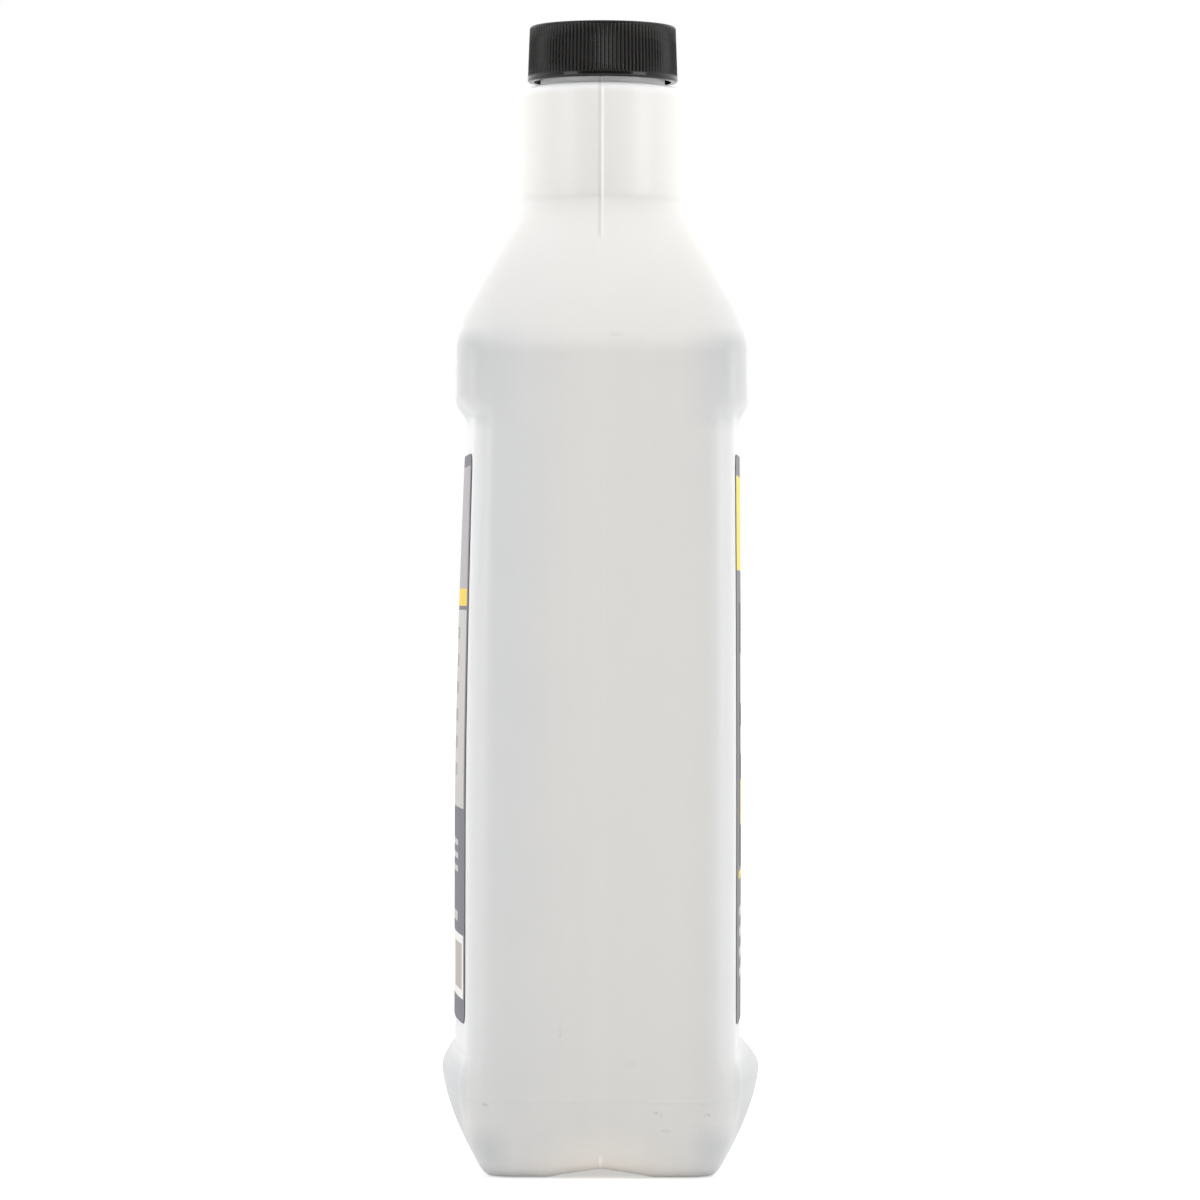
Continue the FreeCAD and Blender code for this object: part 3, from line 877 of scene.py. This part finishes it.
def printed_film(name, ground, worn_ground, fields):
    """Printed label film: a worn ground with (colour, low corner, high corner) fields in millimetres."""
    nodes = Nodes(name)
    x, y, z = nodes.axes()
    tone = nodes.ramp(nodes.noise(420.0, 3.0), 0.3, 0.7)
    colour = nodes.mix(tone, ground, worn_ground)
    for tint, low, high in fields:
        colour = nodes.mix(nodes.bar(x, z, low, high), colour, tint)
    nodes.feed(colour, nodes.shader.inputs["Base Color"])
    nodes.shader.inputs["Roughness"].default_value = 0.45
    nodes.shader.inputs["Specular IOR Level"].default_value = 0.12
    nodes.bump([(nodes.noise(26.0, 2.0), 0.06, 0.001), (nodes.noise(1600.0, 2.0), 0.06, 0.00005)])
    return nodes.material


def text_bars(x_low, x_high, z_high, z_low, pitch, tint, lengths):
    """Rows of plain bars that stand for lines of print."""
    bars = []
    row = 0
    z = z_high
    while z - pitch * 0.45 > z_low:
        end = x_low + (x_high - x_low) * lengths[row % len(lengths)]
        bars.append((tint, (x_low, z - pitch * 0.45), (end, z)))
        z -= pitch
        row += 1
    return bars


def front_print():
    """Front label: a yellow band over a dark field with plain bars."""
    fields = [
        # Yellow band paled by a painted glare
        (GLARE_YELLOW, (-44.6, 118.3), (30.0, 136.8)),
        (WHITE, (32.0, 118.3), (34.5, 136.8)),
        (DEEP_SLATE, (-38.0, 60.0), (38.0, 112.0)),
        (YELLOW, (-38.0, 57.6), (38.0, 59.2)),
        (PALE, (-30.0, 92.0), (6.0, 102.0)),
        (PALE, (-30.0, 82.0), (22.0, 87.5)),
        (YELLOW, (-30.0, 68.0), (-12.0, 77.0)),
        (PALE, (-8.0, 68.0), (22.0, 70.6)),
        (PALE, (-8.0, 74.4), (14.0, 77.0)),
    ]
    fields += text_bars(-36.0, 4.0, 52.0, 38.0, 4.0, PALE, (0.9, 0.7, 1.0, 0.55))
    # Ground lightened by a painted glare, over its worn tone
    return printed_film("front_label_print", GLARE_SLATE, WORN_GLARE_SLATE, fields)


def back_print():
    """Back label: a light field, a yellow stripe, a pale field with bars and a white box."""
    fields = [
        (LIGHT_SLATE, (-43.6, 114.6), (43.6, 138.6)),
        (YELLOW, (-43.6, 111.2), (43.6, 114.6)),
        (PALE, (-43.6, 71.5), (43.6, 110.4)),
        (WHITE, (-43.8, 34.3), (-8.0, 46.7)),
        (TAN, (-41.0, 36.0), (-22.0, 45.0)),
        (PALE, (-30.0, 48.9), (-14.0, 50.8)),
    ]
    fields += text_bars(-27.0, -2.0, 107.0, 74.0, 5.4, FAINT, (0.7, 0.35, 0.85, 0.5))
    fields += text_bars(4.0, 40.0, 107.0, 74.0, 5.4, FAINT, (1.0, 0.85, 0.7))
    fields += text_bars(-31.0, -10.0, 65.0, 58.0, 2.6, PALE, (0.9, 1.0, 0.7))
    return printed_film("back_label_print", SLATE, WORN_SLATE, fields)


def dress():
    """Gives every piece its finish."""
    bottle = make_bottle()
    bottle.data.materials.append(bottle_plastic())
    front = make_label("front_label_film", FRONT, "front_label")
    front.data.materials.append(front_print())
    back = make_label("back_label_film", BACK, "back_label")
    back.data.materials.append(back_print())
    cap = make_cap()
    cap.data.materials.append(cap_plastic())
    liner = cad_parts["cap_liner"]
    liner.data.materials.clear()
    liner.data.materials.append(liner_foam())


# Studio: the photograph is taken level, at mid height, looking at a narrow end
CAMERA_DISTANCE = 1.17
CAMERA_HEIGHT = 0.1124
PIXELS_PER_METRE = 4930.0
PHOTO_SIDE = 1200.0
CAMERA_ROLL = math.radians(0.13)
AXIS_PIXEL = 601.5

# Light: three softboxes, a dim room behind the camera and a bright backdrop, blended along X
LIGHT_TARGET = (0.0, 0.0, 0.12)
SOFTBOXES = (
    ("left_softbox", (-0.71, 0.84, 0.30), (0.45, 1.0), 3.4),
    ("right_softbox", (-0.59, -0.93, 0.30), (0.45, 1.0), 4.2),
    ("top_softbox", (-0.5, 0.0, 1.4), (1.0, 1.0), 3.4),
)
CAMERA_SIDE_LIGHT = 0.09
BACKDROP_LIGHT = 1.33
BEHIND_CAMERA = -0.8
BESIDE_BOTTLE = 0.3
FLOOR_REACH = 20.0
FLOOR_LEVEL = 0.88
FLOOR_GLOW = 0.13
FLOOR_GLOW_SEEN = 0.42


def make_camera():
    """Level camera on the -X side, with the photograph's slight roll and shift."""
    data = bpy.data.cameras.new("camera")
    data.sensor_fit = "HORIZONTAL"
    data.sensor_width = 36.0
    data.lens = data.sensor_width * CAMERA_DISTANCE * PIXELS_PER_METRE / PHOTO_SIDE
    data.shift_x = (PHOTO_SIDE / 2.0 - AXIS_PIXEL) / PHOTO_SIDE
    data.clip_end = 50.0
    camera = bpy.data.objects.new("camera", data)
    looking = Matrix.Rotation(math.radians(-90.0), 4, "Z") @ Matrix.Rotation(math.radians(90.0), 4, "X")
    camera.matrix_world = (
        Matrix.Translation((-CAMERA_DISTANCE, 0.0, CAMERA_HEIGHT))
        @ looking @ Matrix.Rotation(CAMERA_ROLL, 4, "Z")
    )
    bpy.context.scene.collection.objects.link(camera)
    bpy.context.scene.camera = camera


def make_softbox(name, place, size, power):
    """Rectangular lamp aimed at the bottle's middle."""
    data = bpy.data.lights.new(name, "AREA")
    data.shape = "RECTANGLE"
    data.size, data.size_y = size
    data.energy = power
    lamp = bpy.data.objects.new(name, data)
    lamp.location = place
    lamp.rotation_euler = (Vector(LIGHT_TARGET) - Vector(place)).to_track_quat("-Z", "Y").to_euler()
    bpy.context.scene.collection.objects.link(lamp)


def make_world():
    """White studio: dim behind the camera, bright around and behind the bottle."""
    world = bpy.data.worlds.new("studio")
    world.use_nodes = True
    tree = world.node_tree
    background = tree.nodes["Background"]
    background.inputs["Color"].default_value = grey(1.0)
    place = tree.nodes.new("ShaderNodeTexCoord")
    axes = tree.nodes.new("ShaderNodeSeparateXYZ")
    tree.links.new(place.outputs["Generated"], axes.inputs[0])
    around = tree.nodes.new("ShaderNodeMapRange")
    around.interpolation_type = "SMOOTHSTEP"
    around.inputs[1].default_value = BEHIND_CAMERA
    around.inputs[2].default_value = BESIDE_BOTTLE
    around.inputs[3].default_value = CAMERA_SIDE_LIGHT
    around.inputs[4].default_value = BACKDROP_LIGHT
    tree.links.new(axes.outputs[0], around.inputs[0])
    path = tree.nodes.new("ShaderNodeLightPath")
    strength = tree.nodes.new("ShaderNodeMix")
    strength.inputs[3].default_value = 1.0
    tree.links.new(path.outputs["Is Camera Ray"], strength.inputs[0])
    tree.links.new(around.outputs[0], strength.inputs[2])
    tree.links.new(strength.outputs[0], background.inputs["Strength"])
    bpy.context.scene.world = world


def make_floor():
    """Plain pale sheet that glows faintly, more so straight to the camera, so it keeps the shadow."""
    mesh = bpy.data.meshes.new("floor")
    reach = FLOOR_REACH
    corners = [(-reach, -reach, 0), (reach, -reach, 0), (reach, reach, 0), (-reach, reach, 0)]
    mesh.from_pydata(corners, [], [(0, 1, 2, 3)])
    floor = bpy.data.objects.new("floor", mesh)
    bpy.context.scene.collection.objects.link(floor)
    material = bpy.data.materials.new("floor_paper")
    material.use_nodes = True
    tree = material.node_tree
    shader = tree.nodes["Principled BSDF"]
    shader.inputs["Base Color"].default_value = grey(FLOOR_LEVEL)
    shader.inputs["Roughness"].default_value = 1.0
    shader.inputs["Specular IOR Level"].default_value = 0.0
    shader.inputs["Emission Color"].default_value = grey(1.0)
    path = tree.nodes.new("ShaderNodeLightPath")
    glow = tree.nodes.new("ShaderNodeMapRange")
    glow.inputs[3].default_value = FLOOR_GLOW
    glow.inputs[4].default_value = FLOOR_GLOW_SEEN
    tree.links.new(path.outputs["Is Camera Ray"], glow.inputs[0])
    tree.links.new(glow.outputs[0], shader.inputs["Emission Strength"])
    floor.data.materials.append(material)


dress()
make_camera()
make_world()
for softbox in SOFTBOXES:
    make_softbox(*softbox)
make_floor()
bpy.context.scene.view_settings.view_transform = "Standard"
